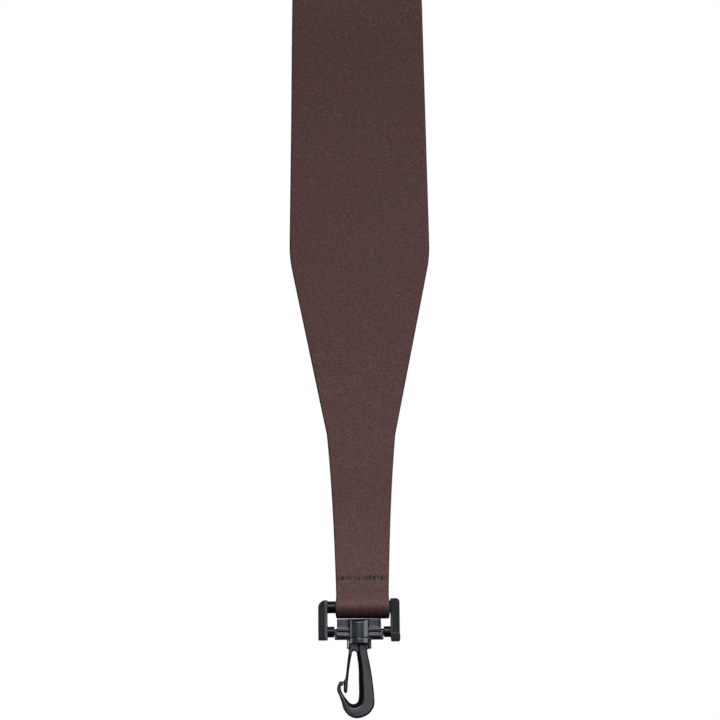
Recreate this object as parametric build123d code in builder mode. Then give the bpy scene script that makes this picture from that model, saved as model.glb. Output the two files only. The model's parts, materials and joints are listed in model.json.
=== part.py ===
from build123d import *

from math import asin, atan2, cos, hypot, sin

# Saxophone neck strap, hanging as it is worn. The origin is the top of the inside of the neck loop,
# +X is across the band, -Y is the front leg and +Z is up. Millimetres.

# Loop
drop = 400.0  # top of the loop's inside to the axis of the buckle's bar
neck_radius = 58.0
bar_z = -drop
neck_z = -neck_radius

# Leather band and its suede backing
leather = 2.4
suede = 1.2
neck_width = 61.0
shoulder_width = 68.0
knee_width = 33.5
tail_width = 25.2
back_tail_width = 20.0
shoulder_rise = 168.0  # heights on the front leg, above the bar
knee_rise = 83.0
suede_rise = 180.0
seam_rise = 13.6
flap_rise = 18.5
loop_rise = 6.5  # where the layers part to go round the bar
back_loop_margin = 3.0  # below the back seam, the layers part to go round the ring
leg_bend = 180.0  # radius of the front leg's curve above its seam

# Nylon webbing of the adjuster
web = 1.2
web_width = 20.0
web_bend = 45.0
web_end_rise = 9.0  # end of the web inside the seam
slide_s = 50.0  # places along the web's straight run, from the end of its bend
ring_s = 100.0

# Rectangular ring and slide
ring_wire = 1.6  # radius
ring_pitch = 12.0
hardware_inside = 21.0
slide_rail = 3.4
slide_length = 20.0
slide_bar = 2.4
sewn_end = 20.0

# Thread
thread = 0.35  # radius
stitch_pitch = 1.9
stitch_length = 1.5

# Buckle frame
buckle_x = -1.8  # the band has slipped this far to the right on the bar
bar_radius = 3.0
rail_inner = 15.25
rail_outer = 19.75
rail_depth = 8.6
left_rail_top = 3.1  # rail ends, from the bar's axis
left_rail_foot = -15.85
right_rail_top = 3.8
right_rail_foot = -16.55
boss_radius = 2.7
boss_reach = 11.95  # bosses on the rails, round the hub's pins
bar_gap = 0.3  # between the bar and the leather round it

# Swivel hub
pivot_fall = 12.0  # bar axis to the hub's pins
pivot_z = bar_z - pivot_fall
pin_radius = 1.6
pin_reach = 17.6
pin_gap = 0.05
barrel_radius = 5.55
barrel_depth = 8.8
barrel_top = 6.2  # the barrel's top is round about the pins' axis
wing_reach = 10.7
flange_reach = 11.8
flange_top = 0.7
wing_top = 6.2  # above the pins' axis
wing_foot = -3.85
wing_depth = 4.6
collar_radius = 5.95
collar_top = -3.4
collar_foot = -8.3
groove = 0.35

# Hook
stem_radius = 1.9
stem_gap = 0.06
stem_head_radius = 2.8
cavity_radius = 3.2
cavity_low = -1.6
cavity_high = 3.6
hook_depth = 5.0
gate_root_x = -4.3
gate_root_fall = 22.2
gate_root_radius = 0.85
gate_depth = 3.8
gate_gap = 0.08

# Shape of the loop
leather_radius = neck_radius + suede + leather / 2  # middle of the leather over the neck
loop_radius = bar_radius + bar_gap + leather / 2  # middle of the leather round the bar
layer_out = (web + leather) / 2  # middle of each leather layer in the front seam
bend_z = bar_z + 20.0  # both legs are upright up to here
ring_n = web + ring_wire + 0.1 - web / 2  # ring's middle, out from the web's inner run
layer_gap = 0.1  # between layers that are sewn together
leather_n = ring_n + leather / 2  # back leg's leather, out from the web's inner run


def lean_of(start_out, bend, far_radius):
    """Lean from upright of a straight leg between a bend that starts upright and the neck's curve."""
    across = start_out + bend
    height = neck_z - bend_z
    return asin((bend + far_radius) / hypot(across, height)) - atan2(across, height)


front_lean = lean_of(layer_out, leg_bend, leather_radius)
back_lean = lean_of(0, web_bend, leather_radius - leather_n)


def leg_end(lean, radius):
    """(distance out, z) where a leg with this lean meets a circle of this radius round the neck."""
    return radius * cos(lean), neck_z - radius * sin(lean)


web_start = (web_bend * (1 - cos(back_lean)), bend_z + web_bend * sin(back_lean))
# Drawing plane of the adjuster: first axis up along the web, second axis outwards, away from the player.
adjuster = Plane(
    origin=(0, web_start[0], web_start[1]),
    x_dir=(0, sin(back_lean), cos(back_lean)),
    z_dir=(-1, 0, 0),
)
ring_top_s = ring_s + ring_pitch


def in_loop(s, n):
    """A point of the adjuster's plane as (y, z)."""
    point = adjuster.from_local_coords(Vector(s, n, 0))
    return point.Y, point.Z


# The band's outline, as the front and the back show it
band_top = 20.0  # the outline runs on past both ends of the band
slack = 40.0
back_tail_drop = 2.0
knee_slope = 0.19  # widening of each side per millimetre of height
band_reach = 100.0
# the same outline starts higher on the back leg
back_shift = ring_top_s + web_start[1] - bar_z - back_tail_drop

with BuildPart() as band_outline:
    for shift, end_width, reach in ((0, tail_width, band_reach), (back_shift, back_tail_width, -band_reach)):
        base = bar_z + shift
        with BuildSketch(Plane.XZ):
            with BuildLine():
                foot = (end_width / 2, base - slack)
                tail = (end_width / 2, base)
                knee = (knee_width / 2, base + knee_rise)
                shoulder = (shoulder_width / 2, base + shoulder_rise)
                top = (neck_width / 2, neck_z)
                Line((0, base - slack), foot)
                Line(foot, tail)
                Spline(tail, knee, tangents=((0, 1), (knee_slope, 1)), tangent_scalars=(1, 1))
                Line(knee, shoulder)
                Line(shoulder, top)
                Line(top, (neck_width / 2, band_top))
                Line((neck_width / 2, band_top), (0, band_top))
                Line((0, band_top), (0, base - slack))
            make_face()
            mirror(about=Plane.YZ)
        extrude(amount=reach)

with BuildPart() as leather_strap:
    with BuildSketch(Plane.YZ):
        with BuildLine():
            front_leave = (
                -layer_out - leg_bend * (1 - cos(front_lean)),
                bend_z + leg_bend * sin(front_lean),
            )
            front_out, front_z = leg_end(front_lean, leather_radius)
            back_out, back_z = leg_end(back_lean, leather_radius)
            flap_top = bar_z + flap_rise
            loop_high = bar_z + loop_rise
            # flap, round the bar and up the front leg
            Line((layer_out, flap_top), (layer_out, loop_high))
            Spline((layer_out, loop_high), (loop_radius, bar_z), tangents=((0, -1), (0, -1)))
            ThreePointArc((loop_radius, bar_z), (0, bar_z - loop_radius), (-loop_radius, bar_z))
            Spline((-loop_radius, bar_z), (-layer_out, loop_high), tangents=((0, 1), (0, 1)))
            Line((-layer_out, loop_high), (-layer_out, bend_z))
            TangentArc((-layer_out, bend_z), front_leave, tangent=(0, 1))
            Line(front_leave, (-front_out, front_z))
            ThreePointArc((-front_out, front_z), (0, suede + leather / 2), (back_out, back_z))
            # down the back leg, round the ring and up again
            ring_loop = ring_wire + bar_gap + leather / 2
            sewn_s = ring_top_s + seam_rise - back_loop_margin
            back_sewn = in_loop(sewn_s, leather_n)
            flap_n = leather_n - leather - layer_gap
            flap_sewn = in_loop(sewn_s, flap_n)
            Line((back_out, back_z), back_sewn)
            down = -adjuster.x_dir
            up = adjuster.x_dir
            outer_side = in_loop(ring_top_s, ring_n + ring_loop)
            inner_side = in_loop(ring_top_s, ring_n - ring_loop)
            Spline(back_sewn, outer_side, tangents=((down.Y, down.Z), (down.Y, down.Z)))
            under_ring = in_loop(ring_top_s - ring_loop, ring_n)
            ThreePointArc(outer_side, under_ring, inner_side)
            Spline(inner_side, flap_sewn, tangents=((up.Y, up.Z), (up.Y, up.Z)))
            Line(flap_sewn, in_loop(ring_top_s + flap_rise, flap_n))
        trace(line_width=leather)
    extrude(amount=shoulder_width, both=True)
    add(band_outline.part, mode=Mode.INTERSECT)
leather_strap.part.label = "leather_strap"

with BuildPart() as suede_backing:
    with BuildSketch(Plane.YZ):
        with BuildLine():
            feet = []
            for radius in (neck_radius, neck_radius + suede):
                front_out, front_z = leg_end(front_lean, radius)
                back_out, back_z = leg_end(back_lean, radius)
                front_run = (front_z - bar_z - suede_rise) / cos(front_lean)
                back_run = (back_z - bar_z - suede_rise - back_shift) / cos(back_lean)
                front_foot = (
                    front_run * sin(front_lean) - front_out,
                    front_z - front_run * cos(front_lean),
                )
                back_foot = (
                    back_out - back_run * sin(back_lean),
                    back_z - back_run * cos(back_lean),
                )
                Line(front_foot, (-front_out, front_z))
                ThreePointArc((-front_out, front_z), (0, radius - neck_radius), (back_out, back_z))
                Line((back_out, back_z), back_foot)
                feet.append((front_foot, back_foot))
            for inner_end, outer_end in zip(feet[0], feet[1]):
                Line(inner_end, outer_end)
        make_face()
    extrude(amount=shoulder_width, both=True)
    add(band_outline.part, mode=Mode.INTERSECT)
suede_backing.part.label = "suede_backing"


# Adjuster: the web comes out of the front seam, goes up and round the ring's lower wire
web_turn = ring_wire + 0.1 + web / 2  # middle of the web round the wire

with BuildPart() as adjuster_web:
    with BuildSketch(Plane.YZ):
        with BuildLine():
            Line((0, bar_z + web_end_rise), (0, bend_z))
            TangentArc((0, bend_z), web_start, tangent=(0, 1))
            Line(web_start, in_loop(ring_s, 0))
            ThreePointArc(
                in_loop(ring_s, 0),
                in_loop(ring_s + web_turn, ring_n),
                in_loop(ring_s, ring_n + web_turn),
            )
        trace(line_width=web)
    extrude(amount=web_width / 2, both=True)
adjuster_web.part.label = "adjuster_web"

# Centre bar of the slide, which the web's other end is sewn round
bar_n = web / 2 + 0.2 + web + 0.1 + slide_bar / 2
bar_flat = 0.8
wrap = slide_bar / 2 + 0.1 + web / 2
tail_n = bar_n - wrap
outer_n = tail_n + web + layer_gap
bar_end = slide_s - bar_flat
bar_top = slide_s + bar_flat
web_meet = slide_s + 9.0  # where the sewn end's two layers meet above the bar
tail_short = 3.0  # the inner layer ends this far short of the outer one
sewn_top = slide_s + sewn_end
free_n = ring_n + web_turn

with BuildPart() as web_sewn_end:
    with BuildSketch(adjuster):
        with BuildLine():
            Line((sewn_top - tail_short, tail_n), (bar_end, tail_n))
            ThreePointArc((bar_end, tail_n), (bar_end - wrap, bar_n), (bar_end, bar_n + wrap))
            Line((bar_end, bar_n + wrap), (bar_top, bar_n + wrap))
            Spline((bar_top, bar_n + wrap), (web_meet, outer_n), tangents=((1, 0), (1, 0)))
            Line((web_meet, outer_n), (sewn_top, outer_n))
        trace(line_width=web)
    extrude(amount=web_width / 2, both=True)
web_sewn_end.part.label = "web_sewn_end"

with BuildPart() as web_free_run:
    with BuildSketch(adjuster):
        with BuildLine():
            Spline((sewn_top, outer_n), (ring_s, free_n), tangents=((1, 0), (1, 0)))
        trace(line_width=web)
    extrude(amount=web_width / 2, both=True)
web_free_run.part.label = "web_free_run"

ring_middle = adjuster.from_local_coords(Vector(ring_s + ring_pitch / 2, ring_n, 0))
ring_plane = Plane(ring_middle, x_dir=(1, 0, 0), z_dir=adjuster.y_dir)
ring_corner = 2.05
with BuildPart() as strap_ring:
    with BuildLine(ring_plane) as ring_path:
        reach = hardware_inside / 2 + ring_wire
        half = ring_pitch / 2
        corners = ((reach, half), (-reach, half), (-reach, -half), (reach, -half))
        FilletPolyline(*corners, radius=ring_corner, close=True)
    with BuildSketch(Plane(ring_path.wires()[0] @ 0, z_dir=ring_path.wires()[0] % 0)):
        Circle(ring_wire)
    sweep(path=ring_path.wires()[0])
strap_ring.part.label = "strap_ring"

end_bar_top = -web / 2 - 0.2
end_bar_low = end_bar_top - slide_bar
end_bar = 3.0
end_bar_corner = 0.8
centre_bar_half = 2.6
slide_round = 0.6
with BuildPart() as web_slide:
    with BuildSketch(adjuster):
        with BuildLine():
            slide_outline = (
                (slide_s - slide_length / 2, end_bar_low),
                (slide_s + slide_length / 2, end_bar_low),
                (slide_s + slide_length / 2, end_bar_top),
                (slide_s + centre_bar_half, bar_n + slide_bar / 2),
                (slide_s - centre_bar_half, bar_n + slide_bar / 2),
                (slide_s - slide_length / 2, end_bar_top),
            )
            Polyline(*slide_outline, close=True)
        make_face()
    extrude(amount=hardware_inside / 2 + slide_rail, both=True)
    with BuildSketch(adjuster):
        with Locations((slide_s, 0)):
            Rectangle(2 * slide_length, 6 * slide_bar)
        for side in (1, -1):
            with Locations((slide_s + side * (slide_length - end_bar) / 2, (end_bar_low + end_bar_top) / 2)):
                RectangleRounded(end_bar, slide_bar, end_bar_corner, mode=Mode.SUBTRACT)
        with Locations((slide_s, bar_n)):
            SlotOverall(2 * bar_flat + slide_bar, slide_bar, mode=Mode.SUBTRACT)
    extrude(amount=hardware_inside / 2, both=True, mode=Mode.SUBTRACT)
    fillet(web_slide.edges().filter_by(Axis.X).group_by(Axis.Y)[-1], slide_round)
web_slide.part.label = "web_slide"

# Thread

def stitch_row(width):
    count = int((width - 2) / stitch_pitch)
    return [(i - (count - 1) / 2) * stitch_pitch for i in range(count)]


with BuildPart() as front_seam_stitches:
    for face_y in (-layer_out - leather / 2, layer_out + leather / 2):
        with BuildSketch(Plane.XZ.offset(-face_y)):
            with Locations([(x, bar_z + seam_rise) for x in stitch_row(tail_width)]):
                SlotOverall(stitch_length, 2 * thread)
        extrude(amount=thread, both=True)
front_seam_stitches.part.label = "front_seam_stitches"

with BuildPart() as back_seam_stitches:
    for face_n in (leather_n + leather / 2, flap_n - leather / 2):
        seam_point = adjuster.from_local_coords(Vector(ring_top_s + seam_rise, face_n, 0))
        plane = Plane(seam_point, x_dir=(1, 0, 0), z_dir=adjuster.y_dir)
        with BuildSketch(plane):
            with Locations([(x, 0) for x in stitch_row(back_tail_width)]):
                SlotOverall(stitch_length, 2 * thread)
        extrude(amount=thread, both=True)
back_seam_stitches.part.label = "back_seam_stitches"

with BuildPart() as web_end_stitches:
    for s in (slide_s + 11.5, slide_s + 15):
        for face_n in (outer_n + web / 2, tail_n - web / 2):
            row_point = adjuster.from_local_coords(Vector(s, face_n, 0))
            plane = Plane(row_point, x_dir=(1, 0, 0), z_dir=adjuster.y_dir)
            with BuildSketch(plane):
                with Locations([(x, 0) for x in stitch_row(web_width)]):
                    SlotOverall(stitch_length, 0.5)
            extrude(amount=0.15, both=True)
web_end_stitches.part.label = "web_end_stitches"

# Buckle frame: a bar with a rail down each end, and a bored boss on each rail for the hub's pins
left_corner = 3.8
right_corner = 1.9
foot_rise = 3.4
foot_step = 0.35
foot_corner = 0.7
slope_width = 1.3  # sloping inner edges of the rails
slope_fall = 0.9
rail_middle = (rail_inner + rail_outer) / 2
rail_width = rail_outer - rail_inner
hub_plane = Plane(origin=(buckle_x, 0, pivot_z), x_dir=(1, 0, 0), z_dir=(0, -1, 0))
pin_line = Plane(origin=(buckle_x, 0, pivot_z), x_dir=(0, 1, 0), z_dir=(1, 0, 0))
bar_line = Plane(origin=(buckle_x, 0, bar_z), x_dir=(0, 1, 0), z_dir=(1, 0, 0))

with BuildPart() as buckle_frame:
    for side, top, foot in (
        (-1, left_rail_top, left_rail_foot),
        (1, right_rail_top, right_rail_foot + foot_rise / 2),
    ):
        with BuildSketch(Plane.XY.offset(bar_z + foot)):
            with BuildLine():
                outer = buckle_x + side * rail_outer
                slope = buckle_x + side * (rail_inner + slope_width)
                inner = buckle_x + side * rail_inner
                Polyline(
                    (outer, -rail_depth / 2),
                    (slope, -rail_depth / 2),
                    (inner, slope_fall - rail_depth / 2),
                    (inner, rail_depth / 2 - slope_fall),
                    (slope, rail_depth / 2),
                    (outer, rail_depth / 2),
                    close=True,
                )
            make_face()
        extrude(amount=top - foot)
    deep_edges = buckle_frame.edges().filter_by(Axis.Y)
    top_edges = deep_edges.filter_by(lambda e: e.center().Z > bar_z).sort_by(Axis.X)
    fillet(top_edges[0], left_corner)
    fillet(top_edges[-1], right_corner)
    with BuildSketch(Plane.XZ):
        foot_x = buckle_x + rail_middle + foot_step / 2
        with Locations((foot_x, bar_z + right_rail_foot + foot_rise / 2)):
            RectangleRounded(rail_width, foot_rise, foot_corner)
    extrude(amount=(rail_depth + foot_step) / 2, both=True)
    with BuildSketch(bar_line.offset(-rail_inner - 1)):
        Circle(bar_radius)
    extrude(amount=2 * (rail_inner + 1))
    for side in (-1, 1):
        with BuildSketch(pin_line.offset(side * boss_reach)):
            Circle(boss_radius)
        extrude(amount=side * (rail_inner + 1 - boss_reach))
    with BuildSketch(pin_line):
        Circle(pin_radius + pin_gap)
    extrude(amount=pin_reach + 0.2, both=True, mode=Mode.SUBTRACT)
buckle_frame.part.label = "buckle_frame"

# Swivel hub: a round-topped barrel with a wing and a pin on each side, and a skirt round the hook's crown
skirt_wall = 0.85
skirt_ceiling = -5.7
skirt_cut = -6.0
skirt_ear = 4.9
bore_radius = stem_radius + stem_gap
end_plate = 0.8
wing_profile = (
    (1.3, wing_top),
    (1.3, 1.9),
    (wing_depth / 2, 1.6),
    (wing_depth / 2, 0.2),
    (1.7, -0.1),
    (1.7, -1.0),
    (wing_depth / 2, -1.3),
    (wing_depth / 2, -2.4),
    (1.5, wing_foot),
)
hub_axis = Axis((buckle_x, 0, pivot_z), (0, 0, 1))

with BuildPart() as swivel_hub:
    for low, high, shrink in (
        (collar_top, collar_top + groove, groove),
        (collar_top + groove, barrel_top + 1, 0),
    ):
        with BuildSketch(Plane(origin=(buckle_x, 0, pivot_z + low))):
            Ellipse(barrel_radius - shrink, barrel_depth / 2 - shrink)
        extrude(amount=high - low)
    with BuildSketch(hub_plane):
        with BuildLine():
            Polyline(
                (0, collar_top),
                (collar_radius - 0.3, collar_top),
                (collar_radius, collar_top - 0.3),
                (collar_radius, collar_foot + 0.4),
                (collar_radius - 0.4, collar_foot),
                (collar_radius - skirt_wall, collar_foot),
                (collar_radius - skirt_wall, skirt_ceiling),
                (0, skirt_ceiling),
                close=True,
            )
        make_face()
    revolve(axis=hub_axis)
    with BuildSketch(hub_plane):
        with BuildLine():
            Polyline(
                (0, collar_foot),
                (bore_radius, collar_foot),
                (bore_radius, cavity_low),
                (cavity_radius, cavity_low),
                (cavity_radius, cavity_high),
                (0, cavity_high),
                close=True,
            )
        make_face()
    revolve(axis=hub_axis, mode=Mode.SUBTRACT)
    with Locations((buckle_x, 0, pivot_z + skirt_cut)):
        Box(
            2 * skirt_ear,
            4 * collar_radius,
            2 * collar_radius,
            align=(Align.CENTER, Align.CENTER, Align.MAX),
            mode=Mode.SUBTRACT,
        )
    for side in (-1, 1):
        with BuildSketch(pin_line.offset(side * (cavity_radius + 1.0))):
            with BuildLine():
                back_profile = [(-y, z) for y, z in reversed(wing_profile)]
                Polyline(*wing_profile, *back_profile, close=True)
            make_face()
        extrude(amount=side * (wing_reach - cavity_radius - 1.0))
        with BuildSketch(pin_line.offset(side * (wing_reach - end_plate))):
            with Locations((0, wing_top / 2)):
                Rectangle(wing_depth - end_plate, wing_top)
        extrude(amount=side * end_plate)
        with BuildSketch(pin_line.offset(side * (wing_reach - end_plate))):
            with Locations((0, (flange_top + wing_foot) / 2)):
                RectangleRounded(wing_depth - end_plate, flange_top - wing_foot, 0.5)
        extrude(amount=side * (flange_reach - wing_reach + end_plate))
        with BuildSketch(pin_line.offset(side * (wing_reach - 1))):
            Circle(pin_radius)
        extrude(amount=side * (pin_reach - wing_reach + 1))
    with BuildSketch(pin_line):
        Circle(barrel_top)
        with Locations((0, -3 * collar_radius)):
            Rectangle(6 * collar_radius, 6 * collar_radius)
    extrude(amount=2 * pin_reach, both=True, mode=Mode.INTERSECT)
swivel_hub.part.label = "swivel_hub"

# Hook: stem and crown, spine, bowl and tip in one moulding; the gate is its springy tongue
crown_radius = 4.95
crown_depth = 4.2
crown_foot = -8.45  # from the pins' axis
crown_top = skirt_ceiling - 0.06
hook_plane = Plane(origin=(buckle_x, 0, bar_z), x_dir=(1, 0, 0), z_dir=(0, -1, 0))
gate_root = (gate_root_x, -gate_root_fall)

with BuildPart() as hook_body:
    with BuildSketch(hook_plane):
        with BuildLine():
            top_left = (-1.4, -19.2)
            top_right = (3.4, -19.2)
            right_hip = (7.2, -45.4)
            bottom = (-1.8, -53.4)
            left_cheek = (-8.4, -47.2)
            bump = (-10.4, -40.4)
            tip_top = (-9.6, -36.1)
            cap_top = (-8.05, -36.15)
            cap_foot = (-8.0, -37.3)
            tip_in = (-8.7, -37.5)
            throat = (-9.0, -39.4)
            eye_bottom = (-3.2, -46.75)
            eye_right = (-0.3, -43.0)
            spine_mid = (-0.45, -30.0)
            Line(top_left, top_right)
            Spline(top_right, (5.5, -29.6), (6.6, -37.6), right_hip, tangents=((0.17, -1), (0, -1)))
            Spline(right_hip, (4.4, -51.5), bottom, tangents=((0, -1), (-1, 0)))
            Spline(bottom, (-6.3, -51.3), left_cheek, tangents=((-1, 0), (-0.2, 1)))
            Spline(left_cheek, (-9.2, -43.6), bump, tangents=((-0.2, 1), (0, 1)))
            Spline(bump, tip_top, tangents=((0, 1), (0.35, 1)))
            Polyline(tip_top, cap_top, cap_foot, tip_in)
            Spline(tip_in, throat, tangents=((-0.3, -1), (0, -1)))
            Spline(throat, (-6.9, -43.6), eye_bottom, tangents=((0, -1), (1, 0)))
            Spline(eye_bottom, eye_right, tangents=((1, 0), (0, 1)))
            Spline(eye_right, spine_mid, top_left, tangents=((0.05, 1), (-0.5, 1)))
        make_face()
    extrude(amount=hook_depth / 2, both=True)
    with BuildSketch(hook_plane):
        with BuildLine():
            crown_low = pivot_z + crown_foot - bar_z
            Polyline(
                (-4.9, crown_low + 0.1), (3.8, crown_low + 0.1), (3.8, -21.2), (3.0, -22.0), (-1.2, -22.0),
                (-2.0, -21.3), (-2.6, -21.1), (-3.1, -21.4), (gate_root_x, -gate_root_fall), (-5.4, -21.9),
                (-5.2, -20.9), close=True,
            )
        make_face()
        with Locations(gate_root):
            Circle(gate_root_radius + gate_gap, mode=Mode.SUBTRACT)
    extrude(amount=crown_depth / 2, both=True)
    with BuildSketch(Plane(origin=(buckle_x, 0, pivot_z + crown_foot))):
        Circle(crown_radius)
        Rectangle(2 * crown_radius, crown_depth, mode=Mode.INTERSECT)
    extrude(amount=crown_top - crown_foot)
    with BuildSketch(hub_plane):
        with BuildLine():
            Polyline(
                (0, -7.0), (stem_radius, -7.0), (stem_radius, cavity_low + 0.3),
                (stem_head_radius, cavity_low + 0.3), (stem_head_radius, cavity_low + 1.1),
                (stem_radius - 0.5, cavity_high - 0.4), (0, cavity_high - 0.4), close=True,
            )
        make_face()
    revolve(axis=Axis((buckle_x, 0, pivot_z), (0, 0, 1)))
hook_body.part.label = "hook_body"

with BuildPart() as hook_gate:
    with BuildSketch(hook_plane):
        with BuildLine():
            root_left = (-5.15, -22.2)
            root_right = (-3.45, -22.2)
            neck = (-6.75, -34.2)
            shoulder_top = (-7.85, -36.1)
            shoulder_foot = (-7.65, -37.2)
            finger_left = (-7.65, -40.3)
            finger_right = (-5.85, -40.3)
            Spline(root_left, (-6.1, -29.2), neck, tangents=((-0.14, -1), (-0.15, -1)))
            Spline(neck, shoulder_top, tangents=((-0.15, -1), (-0.8, -1)))
            Polyline(shoulder_top, shoulder_foot, finger_left)
            ThreePointArc(finger_left, (-6.7, -41.55), finger_right)
            Spline(finger_right, (-5.0, -30.7), root_right, tangents=((0.05, 1), (0.2, 1)))
            Line(root_right, root_left)
        make_face()
        with Locations(gate_root):
            Circle(gate_root_radius)
    extrude(amount=gate_depth / 2, both=True)
hook_gate.part.label = "hook_gate"

for piece in (
    leather_strap,
    suede_backing,
    front_seam_stitches,
    back_seam_stitches,
    strap_ring,
    adjuster_web,
    web_free_run,
    web_sewn_end,
    web_end_stitches,
    web_slide,
    buckle_frame,
    swivel_hub,
    hook_body,
    hook_gate,
):
    export_step(piece.part, f"parts/{piece.part.label}.step")
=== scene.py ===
import json
import math
import random

import bmesh
import bpy
import numpy as np
from mathutils import Matrix, Vector


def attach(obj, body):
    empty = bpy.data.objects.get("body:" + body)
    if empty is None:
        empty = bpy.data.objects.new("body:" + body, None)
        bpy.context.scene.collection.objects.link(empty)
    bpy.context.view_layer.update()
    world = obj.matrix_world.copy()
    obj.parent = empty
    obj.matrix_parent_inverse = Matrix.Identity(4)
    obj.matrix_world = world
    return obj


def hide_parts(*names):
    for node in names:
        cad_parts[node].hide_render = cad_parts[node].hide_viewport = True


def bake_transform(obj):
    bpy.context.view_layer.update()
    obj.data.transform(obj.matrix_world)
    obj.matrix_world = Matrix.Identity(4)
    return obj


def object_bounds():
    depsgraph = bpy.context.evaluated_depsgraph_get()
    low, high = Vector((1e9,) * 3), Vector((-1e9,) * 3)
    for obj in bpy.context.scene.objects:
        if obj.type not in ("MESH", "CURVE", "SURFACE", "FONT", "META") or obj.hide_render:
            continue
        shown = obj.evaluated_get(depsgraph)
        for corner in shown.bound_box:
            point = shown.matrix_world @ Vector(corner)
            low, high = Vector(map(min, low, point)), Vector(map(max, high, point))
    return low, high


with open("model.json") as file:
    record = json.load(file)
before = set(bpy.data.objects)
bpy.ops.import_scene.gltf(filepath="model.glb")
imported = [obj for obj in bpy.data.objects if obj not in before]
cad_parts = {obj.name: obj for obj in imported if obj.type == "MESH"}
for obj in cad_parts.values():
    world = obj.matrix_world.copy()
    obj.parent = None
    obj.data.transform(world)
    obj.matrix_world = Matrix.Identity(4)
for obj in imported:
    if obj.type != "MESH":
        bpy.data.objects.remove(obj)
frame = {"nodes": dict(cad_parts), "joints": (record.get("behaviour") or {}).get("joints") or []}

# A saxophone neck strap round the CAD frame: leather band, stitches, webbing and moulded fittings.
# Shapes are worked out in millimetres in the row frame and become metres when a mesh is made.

MM = 0.001
cad_box = [list(corner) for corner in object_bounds()]
joints = {joint["name"]: joint for joint in frame["joints"]}

# Sizes in millimetres, as the CAD model has them
LEATHER = 2.4
SUEDE = 1.2
WEB = 1.2
WEB_WIDTH = 20.0
NECK_RADIUS = 58.0
BAR_RADIUS = 3.0
BAR_GAP = 0.3
RING_WIRE = 1.6
RING_PITCH = 12.0
RING_INSIDE = 21.0
RING_S = 100.0  # the ring's lower wire, up the webbing's straight run
SLIDE_S = 50.0
SLIDE_BAR = 2.4
SEWN_END = 20.0
LAYER_GAP = 0.1
LEG_BEND = 180.0
WEB_BEND = 45.0
SEAM_RISE = 13.6  # heights above the bar
FLAP_RISE = 18.5
WEB_END_RISE = 9.0
LOOP_RISE = 6.5  # where the layers part to go round the bar
STITCH_PITCH = 1.9
KNEE_RISE = 83.0
SHOULDER_RISE = 168.0
SUEDE_RISE = 180.0
TAIL_HALF = 12.6
KNEE_HALF = 16.75
SHOULDER_HALF = 34.3
NECK_HALF = 30.5
LOOP_BULGE = 0.8  # the leather spreads a little where it is bent round the bar
BACK_TAIL_HALF = 10.0

# Sizes in millimetres that only this file has
LINING_IN = 0.3  # how far the lining's edges lie in from the leather's
LINING_OUT = 0.3  # how far the lining stands out past the leather on the left, at the neck
SEAM_MARGIN = 0.7
SEAM_DEPTH = 0.8  # how far in from the leather's face a seam's groove and holes act
HOLE_RADIUS = 0.6
THREAD_RADIUS = 0.3
THREAD_SHORT = 0.95  # a stitch's thread is this much shorter than the space between its holes
WEB_THREAD_RADIUS = 0.28
WEB_STITCH_PITCH = 2.6
FINE_VOXEL = 0.13
FRAME_VOXEL = 0.16
SLIDE_VOXEL = 0.22
FLOOR_FALL = 107.0  # from the strap's lowest point down to the floor

bar_x, _, bar_z = (value / MM for value in joints["buckle_swing"]["pos_m"])
pivot_z = joints["hub_tilt"]["pos_m"][2] / MM
web_axis = joints["slide_travel"]["axis"]
neck_z = -NECK_RADIUS
bend_z = bar_z + 20.0
leather_radius = NECK_RADIUS + SUEDE + LEATHER / 2
layer_out = (WEB + LEATHER) / 2
ring_n = RING_WIRE + 0.1 + WEB / 2
leather_n = ring_n + LEATHER / 2
flap_n = leather_n - LEATHER - LAYER_GAP
ring_top_s = RING_S + RING_PITCH
bar_n = WEB / 2 + 0.2 + WEB + 0.1 + SLIDE_BAR / 2  # middle of the slide's bar, out from the web's inner run
wrap = SLIDE_BAR / 2 + 0.1 + WEB / 2
tail_n = bar_n - wrap
outer_n = tail_n + WEB + LAYER_GAP
back_lean = math.atan2(web_axis[1], web_axis[2])
front_lean = math.asin(
    (LEG_BEND + leather_radius) / math.hypot(layer_out + LEG_BEND, neck_z - bend_z)
) - math.atan2(layer_out + LEG_BEND, neck_z - bend_z)
web_start = np.array([WEB_BEND * (1 - math.cos(back_lean)), bend_z + WEB_BEND * math.sin(back_lean)])
along_web = np.array([math.sin(back_lean), math.cos(back_lean)])
out_of_web = np.array([math.cos(back_lean), -math.sin(back_lean)])
back_shift = ring_top_s + web_start[1] - bar_z - 2.0
UP = np.array([0.0, 1.0])


def on_web(s, n):
    """The point (y, z) that is s up the webbing's straight run and n out from it."""
    return web_start + s * along_web + n * out_of_web


# ---------------------------------------------------------------- lines in the YZ plane


def arc(centre, radius, start, end, step):
    """Points along an arc. Angles are in degrees, from +Y towards +Z."""
    count = max(3, int(math.radians(abs(end - start)) * radius / step) + 1)
    angles = np.radians(np.linspace(start, end, count))
    return np.stack([centre[0] + radius * np.cos(angles), centre[1] + radius * np.sin(angles)], axis=1)


def straight(start, end, step):
    start, end = np.array(start, float), np.array(end, float)
    count = max(2, int(np.linalg.norm(end - start) / step) + 1)
    return start + (end - start) * np.linspace(0, 1, count)[:, None]


def ease(start, end, leaving, arriving, step):
    """A smooth change of course from one point and heading to another."""
    start, end = np.array(start, float), np.array(end, float)
    reach = np.linalg.norm(end - start) / 3
    count = max(4, int(3 * reach / step) + 1)
    t = np.linspace(0, 1, count)[:, None]
    a = start + np.array(leaving) * reach
    b = end - np.array(arriving) * reach
    return (1 - t) ** 3 * start + 3 * t * (1 - t) ** 2 * a + 3 * t * t * (1 - t) * b + t**3 * end


def joined(*stretches):
    """Stretches that meet end to end, as one line."""
    return np.concatenate([stretches[0]] + [stretch[1:] for stretch in stretches[1:]])


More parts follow.
